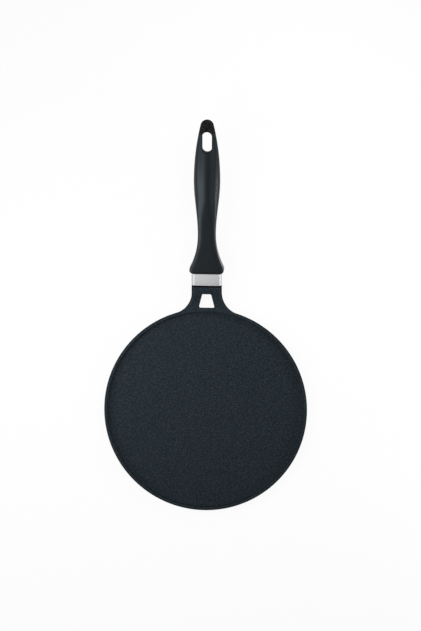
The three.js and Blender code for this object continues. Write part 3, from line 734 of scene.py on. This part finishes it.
def griddle_plate():
    """The plate turned from its profile, with the neck drawn out of its edge as one skin."""
    profile, (low, crest) = plate_profile()
    begin, end = FILLET_TOUCH, math.pi - FILLET_TOUCH
    angles = list(np.linspace(begin, end, NECK_COLUMNS, endpoint=False))
    angles += list(np.linspace(end, begin + 2 * math.pi, REST_COLUMNS, endpoint=False))
    columns = len(angles)
    vertices = [(r * math.cos(a), r * math.sin(a), z) for r, z in profile for a in angles]
    faces = []
    for row in range(len(profile) - 1):
        for i in range(columns):
            if low <= row < crest and i < NECK_COLUMNS:
                continue
            j = (i + 1) % columns
            here, there = row * columns, (row + 1) * columns
            faces.append((here + i, here + j, there + j, there + i))
    band = list(range(crest, low - 1, -1))
    ring = [crest * columns + i for i in range(NECK_COLUMNS + 1)]
    ring += [row * columns + NECK_COLUMNS for row in band[1:-1]]
    ring += [low * columns + i for i in range(NECK_COLUMNS, -1, -1)]
    ring += [row * columns for row in reversed(band[1:-1])]
    edge = [(PLATE_RADIUS - profile[row][0], profile[row][1]) for row in band]
    share = [math.cos(a) / math.cos(begin) for a in angles[:NECK_COLUMNS]] + [-1.0]
    sections = [(*station, 0.0) for station in neck_stations()]
    tip, forward, _ = sections[-1]
    for turn in np.linspace(0, math.pi / 2, END_STEPS + 1)[1:]:
        step = Vector((0, NECK_EDGE_ROUND * math.sin(turn)))
        sections.append((tip + step, forward, NECK_EDGE_ROUND * (1 - math.cos(turn))))
    first_y = PLATE_RADIUS * math.sin(begin)
    for outline, out, shrink in sections:
        fade = (1 - (outline.y - first_y) / (NECK_END_AT - first_y)) ** 2
        bulges = [radius * (1 - math.sin(begin)) * fade for radius in (CREST_RADIUS, UNDER_RADIUS)]
        start = len(vertices)
        vertices += neck_ring(outline, out, edge, share, shrink, bulges)
        new_ring = list(range(start, len(vertices)))
        for i in range(len(ring)):
            j = (i + 1) % len(ring)
            faces.append((ring[i], new_ring[i], new_ring[j], ring[j]))
        ring = new_ring
    faces.append(tuple(reversed(ring)))
    plate = new_object("griddle_plate_coated", vertices, faces)
    clean(plate)
    combine(plate, neck_window(), "DIFFERENCE")
    return plate


def neck_window():
    """The cutter for the window, wide beside the plate and narrow towards the handle."""
    near = PLATE_RADIUS + WINDOW_INSET
    far = near + WINDOW_LENGTH
    wide, narrow = WINDOW_NEAR_WIDTH / 2, WINDOW_FAR_WIDTH / 2
    corners = [(-wide, near), (wide, near), (narrow, far), (-narrow, far)]
    outline = rounded_outline(corners, WINDOW_CORNER, WINDOW_CORNER_STEPS)

    def top(x, y):
        return neck_face(y, 1)

    def bottom(x, y):
        low = neck_face(y, -1)
        return low - (low - UNDER_LEVEL) * under_reach(x, y)

    return through_cutter("window_cutter", outline, top, bottom, WINDOW_ROUND)


def bar_along(name, section, start, end, level=0.0):
    """A straight bar along the handle's axis."""
    rings = [[(x, y, z + level) for x, z in section] for y in (start, end)]
    return skin(name, rings, to_frame=TO_HANDLE)


def spigot_section():
    """The section of both spigots: the ferrule's bore less the fit."""
    inset = FERRULE_WALL + FIT_GAP
    return rounded_rectangle(NECK_END_WIDTH - 2 * inset, NECK_END_HEIGHT - 2 * inset, NECK_END_CORNER - inset)


def tang_section(gap=0.0):
    """The tang's section, or its pocket's with a gap all round."""
    width, height = TANG_WIDTH + 2 * gap, TANG_THICKNESS + 2 * gap
    return rounded_rectangle(width, height, TANG_CORNER + gap, TANG_CORNER_STEPS)


def post(name, radius, bottom, top):
    """A round cutter on the screw's axis."""
    return turned(name, [(0, bottom), (radius, bottom), (radius, top), (0, top)], HOLE_SEGMENTS, TO_SCREW)


# The ferrule


def ferrule():
    """A sleeve with rounded edges: rings run along the outside and back along the inside."""
    rings = []
    for across, direction in ((0.0, 1), (FERRULE_WALL, -1)):
        ends = (FERRULE_START, FERRULE_END) if direction > 0 else (FERRULE_END, FERRULE_START)
        for end, turn in ((ends[0], 1), (ends[1], -1)):
            steps = np.linspace(0, math.pi / 2, END_STEPS + 1)
            for angle in steps if turn > 0 else reversed(steps):
                inwards = FERRULE_ROUND * (1 - math.sin(angle))
                y = end + direction * turn * FERRULE_ROUND * (1 - math.cos(angle))
                inset = across + direction * inwards
                width, height = NECK_END_WIDTH - 2 * inset, NECK_END_HEIGHT - 2 * inset
                section = rounded_rectangle(width, height, NECK_END_CORNER - inset, FERRULE_CORNER_STEPS)
                rings.append([(x, y, z) for x, z in section])
    return skin("ferrule_sleeve", rings, closed=True, to_frame=TO_HANDLE)


# The handle

FLANK_DROP = (FLARE_WIDTH - WAIST_WIDTH) / 2
FLANK_RUN = WAIST_AT - FLARE_CORNER
FLANK_RADIUS = (FLANK_RUN**2 + (FLANK_DROP - FLARE_CORNER) ** 2 - FLARE_CORNER**2) / (2 * FLANK_DROP)
FLANK_START = FLARE_CORNER + FLARE_CORNER * FLANK_RUN / (FLANK_RADIUS + FLARE_CORNER)
NOSE_CENTRE = HANDLE_LENGTH - NOSE_RADIUS
TAIL_RUN = NOSE_CENTRE - GRIP_AT
TAIL_DROP = GRIP_WIDTH / 2 - NOSE_RADIUS
TAIL_RADIUS = (TAIL_RUN**2 + (GRIP_WIDTH / 2) ** 2 - NOSE_RADIUS**2) / (2 * TAIL_DROP)
NOSE_START = NOSE_CENTRE + NOSE_RADIUS * TAIL_RUN / (TAIL_RADIUS - NOSE_RADIUS)


def handle_half_width(s):
    """Plan of the handle: front corner, hollow flank, swell, long round and nose, each touching the next."""
    if s < FLANK_START:
        return FLARE_WIDTH / 2 - FLARE_CORNER + math.sqrt(max(0, FLARE_CORNER**2 - (FLARE_CORNER - s) ** 2))
    if s < WAIST_AT:
        return WAIST_WIDTH / 2 + FLANK_RADIUS - math.sqrt(FLANK_RADIUS**2 - (WAIST_AT - s) ** 2)
    if s < GRIP_AT:
        return ease(WAIST_WIDTH, GRIP_WIDTH, (s - WAIST_AT) / (GRIP_AT - WAIST_AT)) / 2
    if s < NOSE_START:
        return GRIP_WIDTH / 2 - TAIL_RADIUS + math.sqrt(TAIL_RADIUS**2 - (s - GRIP_AT) ** 2)
    return math.sqrt(max(0, NOSE_RADIUS**2 - (s - NOSE_CENTRE) ** 2))


def handle_height(s, front, waist, grip, nose):
    """Height above or below the axis, eased between four stations and rounded at both ends."""
    if s < FRONT_EDGE_ROUND:
        return front - FRONT_EDGE_ROUND + math.sqrt(max(0, FRONT_EDGE_ROUND**2 - (FRONT_EDGE_ROUND - s) ** 2))
    if s < WAIST_AT:
        return ease(front, waist, (s - FRONT_EDGE_ROUND) / (WAIST_AT - FRONT_EDGE_ROUND))
    if s < GRIP_AT:
        return ease(waist, grip, (s - WAIST_AT) / (GRIP_AT - WAIST_AT))
    if s < NOSE_CENTRE:
        return ease(grip, nose, (s - GRIP_AT) / (NOSE_CENTRE - GRIP_AT))
    return nose * math.sqrt(max(0, 1 - ((s - NOSE_CENTRE) / NOSE_RADIUS) ** 2))


def handle_rise(s):
    return handle_height(s, FRONT_RISE, WAIST_RISE, GRIP_RISE, NOSE_RISE)


def handle_drop(s):
    return handle_height(s, FRONT_DROP, WAIST_DROP, GRIP_DROP, NOSE_DROP)


def handle_squareness(s):
    """Power of the handle's rounded section: boxy at the front, an ellipse before the grip and beyond it."""
    if s < WAIST_AT:
        return ease(FRONT_SQUARENESS, WAIST_SQUARENESS, s / WAIST_AT)
    return ease(WAIST_SQUARENESS, GRIP_SQUARENESS, min(1.0, (s - WAIST_AT) / (ROUND_AT - WAIST_AT)))


def handle_ring(s):
    """The handle's section at a place along it."""
    half, rise, drop, power = handle_half_width(s), handle_rise(s), handle_drop(s), 2 / handle_squareness(s)
    ring = []
    for i in range(HANDLE_POINTS):
        angle = 2 * math.pi * i / HANDLE_POINTS
        across, up = math.cos(angle), math.sin(angle)
        x = math.copysign(half * abs(across) ** power, across)
        ring.append((x, HANDLE_FRONT + s, math.copysign((rise if up > 0 else drop) * abs(up) ** power, up)))
    return ring


def handle_surface(x, y, height):
    """How far the handle's skin lies from its axis over a point, where height gives its rise or drop."""
    share = min(1.0, abs(x) / handle_half_width(y - HANDLE_FRONT))
    power = handle_squareness(y - HANDLE_FRONT)
    return height(y - HANDLE_FRONT) * (1 - share**power) ** (1 / power)


def hanging_slot():
    """The cutter for the slot, straight through the handle with round ends."""
    radius = SLOT_WIDTH / 2
    far = HANDLE_FRONT + HANDLE_LENGTH - SLOT_FROM_TIP - radius
    near = far - SLOT_LENGTH + SLOT_WIDTH
    outline = arc(0, far, radius, 0, math.pi, SLOT_STEPS)
    outline += arc(0, near, radius, math.pi, 2 * math.pi, SLOT_STEPS)

    def top(x, y):
        return handle_surface(x, y, handle_rise)

    def bottom(x, y):
        return -handle_surface(x, y, handle_drop)

    return through_cutter("slot_cutter", outline, top, bottom, SLOT_ROUND, TO_HANDLE)


def counterbore():
    """The cutter for the screw head's recess in the handle's underside, with a chamfered mouth."""
    mouth = -handle_drop(SCREW_AT)
    profile = [
        (0, mouth - OVERRUN),
        (COUNTERBORE_RADIUS + COUNTERBORE_EDGE + OVERRUN, mouth - OVERRUN),
        (COUNTERBORE_RADIUS, mouth + COUNTERBORE_EDGE),
        (COUNTERBORE_RADIUS, SEAT_LEVEL),
        (0, SEAT_LEVEL),
    ]
    return turned("counterbore_cutter", profile, SCREW_SEGMENTS, TO_SCREW)


def handle():
    """The handle's skin over its stations, with its spigot, slot, pocket and screw holes."""
    corner = np.linspace(0, math.pi / 2, FLARE_STEPS + 1)
    stations = [FLARE_CORNER * (1 - math.cos(a)) for a in corner]
    stations += list(np.linspace(FLARE_CORNER, WAIST_AT, FLANK_STEPS + 1)[1:])
    stations += list(np.linspace(WAIST_AT, GRIP_AT, SWELL_STEPS + 1)[1:])
    stations += list(np.linspace(GRIP_AT, NOSE_CENTRE, TAIL_STEPS + 1)[1:])
    nose = np.linspace(0, math.pi / 2, NOSE_STEPS + 1)[1:]
    stations += [NOSE_CENTRE + NOSE_RADIUS * math.sin(a) for a in nose]
    piece = skin("handle_moulded", [handle_ring(s) for s in stations], to_frame=TO_HANDLE)
    spigot = bar_along("spigot", spigot_section(), HANDLE_FRONT - SPIGOT_LENGTH, HANDLE_FRONT + SPIGOT_LENGTH)
    combine(piece, spigot, "UNION")
    pocket_start = HANDLE_FRONT - SPIGOT_LENGTH - OVERRUN
    pocket = bar_along("pocket", tang_section(FIT_GAP), pocket_start, TANG_END + TANG_END_GAP, TANG_LIFT)
    hole = post("hole", HOLE_RADIUS, SEAT_LEVEL - OVERRUN, TANG_LIFT)
    for cutter in (hanging_slot(), pocket, counterbore(), hole):
        combine(piece, cutter, "DIFFERENCE")
    return piece


# The screw and its washers


def handle_screw():
    """A pan head with a tapered cross recess on a threaded shank."""
    bottom = HEAD_TOP - HEAD_HEIGHT
    radius = SCREW_DIAMETER / 2
    profile = [(0, bottom)]
    head_centre = HEAD_DIAMETER / 2 - HEAD_ROUND, bottom + HEAD_ROUND
    profile += arc(*head_centre, HEAD_ROUND, -math.pi / 2, 0, HEAD_STEPS)
    profile += [(HEAD_DIAMETER / 2, HEAD_TOP), (radius, HEAD_TOP)]
    profile += [(radius, HEAD_TOP + SMALL_EDGE), (0, HEAD_TOP + SMALL_EDGE)]
    head = turned("handle_screw_plated", profile, SCREW_SEGMENTS, TO_SCREW)
    arm, side = RECESS_SPAN / 2, RECESS_WIDTH / 2
    quarter = [(arm, -side), (arm, side), (side, side)]
    cross = []
    for _ in range(4):
        cross += quarter
        quarter = [(-y, x) for x, y in quarter]
    levels = ((bottom - OVERRUN, 1.0), (bottom, 1.0), (bottom + RECESS_DEPTH, RECESS_TAPER))
    rings = [[(x * share, y * share, z) for x, y in cross] for z, share in levels]
    combine(head, skin("recess", rings, to_frame=TO_SCREW), "DIFFERENCE")
    combine(head, screw_shank(radius), "UNION")
    return head


def screw_shank(radius):
    """A threaded shank: the groove climbs with the thread's pitch and runs out at both ends."""
    rings = []
    length = TANG_TOP - HEAD_TOP
    count = int(length / THREAD_PITCH * THREAD_STEPS)
    for i in range(count + 1):
        height = HEAD_TOP - SMALL_EDGE + (length + SMALL_EDGE) * i / count
        ring = []
        for k in range(THREAD_SEGMENTS):
            turn = k / THREAD_SEGMENTS
            phase = (height / THREAD_PITCH - turn) % 1.0
            groove = THREAD_DEPTH * (1 - abs(2 * phase - 1))
            fade = min(1.0, i / THREAD_STEPS, (count - i) / THREAD_STEPS + THREAD_TIP_SHARE)
            r = radius - groove * fade
            ring.append((r * math.cos(2 * math.pi * turn), r * math.sin(2 * math.pi * turn), height))
        rings.append(ring)
    return skin("shank", rings, to_frame=TO_SCREW)


def washer(name, diameter, top, thickness, split=0.0):
    """A flat ring of rectangular section with eased edges, cut open where it is a spring washer."""
    inner, outer = HOLE_RADIUS, diameter / 2
    section = rounded_rectangle(outer - inner, thickness, SMALL_EDGE, WASHER_CORNER_STEPS)
    middle = ((inner + outer) / 2, top - thickness / 2)
    count = WASHER_SEGMENTS + 1 if split else WASHER_SEGMENTS
    rings = []
    for i in range(count):
        angle = split / 2 + (2 * math.pi - split) * i / WASHER_SEGMENTS
        spoke = [(middle[0] + x, middle[1] + z) for x, z in section]
        rings.append([(r * math.cos(angle), r * math.sin(angle), z) for r, z in spoke])
    return skin(name, rings, closed=not split, to_frame=TO_SCREW)


# The studio


def area_light(name, height, bearing, distance, size, power):
    """A soft lamp at an angle above the floor and round the object, aimed at the neck."""
    light = bpy.data.lights.new(name, "AREA")
    light.shape = "RECTANGLE"
    light.size, light.size_y = size
    light.energy = power
    lamp = bpy.data.objects.new(name, light)
    lamp.visible_camera = False
    up, round_about = math.radians(height), math.radians(bearing)
    level = Vector((math.cos(round_about), math.sin(round_about), 0))
    away = level * math.cos(up) + Vector((0, 0, math.sin(up)))
    lamp.location = LAMP_TARGET + away * distance
    lamp.rotation_euler = (-away).to_track_quat("-Z", "Y").to_euler()
    bpy.context.scene.collection.objects.link(lamp)


def white_floor():
    """A wide floor with an upturned edge, white to the camera and in reflections, with a soft shadow."""
    edge = arc(FLOOR_REACH - FLOOR_ROUND, FLOOR_ROUND, FLOOR_ROUND, -math.pi / 2, 0, FLOOR_EDGE_STEPS)
    profile = [(0, 0)] + edge + [(FLOOR_REACH, FLOOR_WALL)]
    turns = [2 * math.pi * i / FLOOR_SEGMENTS for i in range(FLOOR_SEGMENTS)]
    rings = [[(r * math.cos(a), r * math.sin(a), z) for a in turns] for r, z in profile]
    floor = skin("floor", rings, caps=False)
    floor.data.flip_normals()
    floor.data.shade_smooth()
    floor.location.z = -FLOOR_DROP
    material = bpy.data.materials.new("floor_white")
    material.use_nodes = True
    tree = material.node_tree
    tree.nodes.clear()
    paint = add_node(tree, "ShaderNodeBsdfDiffuse", Color=(FLOOR_PAINT, FLOOR_PAINT, FLOOR_PAINT, 1))
    glow = add_node(tree, "ShaderNodeEmission", Color=(1, 1, 1, 1), Strength=1.0)
    path = tree.nodes.new("ShaderNodeLightPath")
    seen = path.outputs["Is Camera Ray"]
    for other in ("Is Glossy Ray", "Is Transmission Ray"):
        seen = share_of(tree, "MAXIMUM", seen, path.outputs[other])
    mix = add_node(tree, "ShaderNodeMixShader", Fac=spread(tree, seen, 0, 1, 0, FLOOR_GLOW_SHARE))
    tree.links.new(paint.outputs[0], mix.inputs[1])
    tree.links.new(glow.outputs[0], mix.inputs[2])
    out = tree.nodes.new("ShaderNodeOutputMaterial")
    tree.links.new(mix.outputs[0], out.inputs["Surface"])
    floor.data.materials.append(material)


def studio():
    white_floor()
    for name, lamp in LAMPS.items():
        area_light(name, *lamp)
    world = bpy.data.worlds.new("studio")
    bpy.context.scene.world = world
    world.use_nodes = True
    background = world.node_tree.nodes["Background"]
    background.inputs["Color"].default_value = (1, 1, 1, 1)
    background.inputs["Strength"].default_value = WORLD_STRENGTH
    bpy.context.scene.view_settings.view_transform = "Standard"


def camera():
    data = bpy.data.cameras.new("camera")
    data.lens, data.sensor_width = LENS_MM, SENSOR_MM
    lean = math.sin(VIEW_TILT)
    back = Vector((lean * math.cos(VIEW_BEARING), lean * math.sin(VIEW_BEARING), math.cos(VIEW_TILT)))
    up = Vector((-math.sin(VIEW_ROLL), math.cos(VIEW_ROLL), 0))
    up = (up - back * back.dot(up)).normalized()
    eye = bpy.data.objects.new("camera", data)
    eye.rotation_euler = Matrix((up.cross(back), up, back)).transposed().to_euler()
    eye.location = VIEW_TARGET + back * VIEW_DISTANCE
    bpy.context.scene.collection.objects.link(eye)
    bpy.context.scene.camera = eye


# The object and its scene

camera()
studio()

coating = coated_casting()
ferrule_steel = satin_steel("ferrule_steel", *FERRULE_FINISH)
fastener_steel = satin_steel("fastener_steel", *FASTENER_FINISH)
moulding = handle_moulding()

dress(griddle_plate(), coating, "coated_casting", "griddle_plate")
tang = bar_along("tang", tang_section(), -SPIGOT_LENGTH, TANG_END, TANG_LIFT)
combine(tang, post("tang_hole", HOLE_RADIUS, TANG_UNDERSIDE - OVERRUN, TANG_TOP + OVERRUN), "DIFFERENCE")
dress(tang, coating, "coated_casting")
neck_spigot = bar_along("neck_spigot", spigot_section(), -SPIGOT_LENGTH, FERRULE_START + SPIGOT_LENGTH)
dress(neck_spigot, coating, "coated_casting")
dress(ferrule(), ferrule_steel, "ferrule_steel", "ferrule")
dress(handle(), moulding, "handle_moulding", "handle")
dress(handle_screw(), fastener_steel, "fastener_steel", "handle_screw")
spring_washer = washer("spring_washer_split", SPRING_WASHER_DIAMETER, SPRING_WASHER_TOP,
                       SPRING_WASHER_THICKNESS, SPRING_WASHER_SPLIT)
dress(spring_washer, fastener_steel, "fastener_steel", "spring_washer")
flat_washer = washer("flat_washer_plain", FLAT_WASHER_DIAMETER, FLAT_WASHER_TOP, FLAT_WASHER_THICKNESS)
dress(flat_washer, fastener_steel, "fastener_steel", "flat_washer")
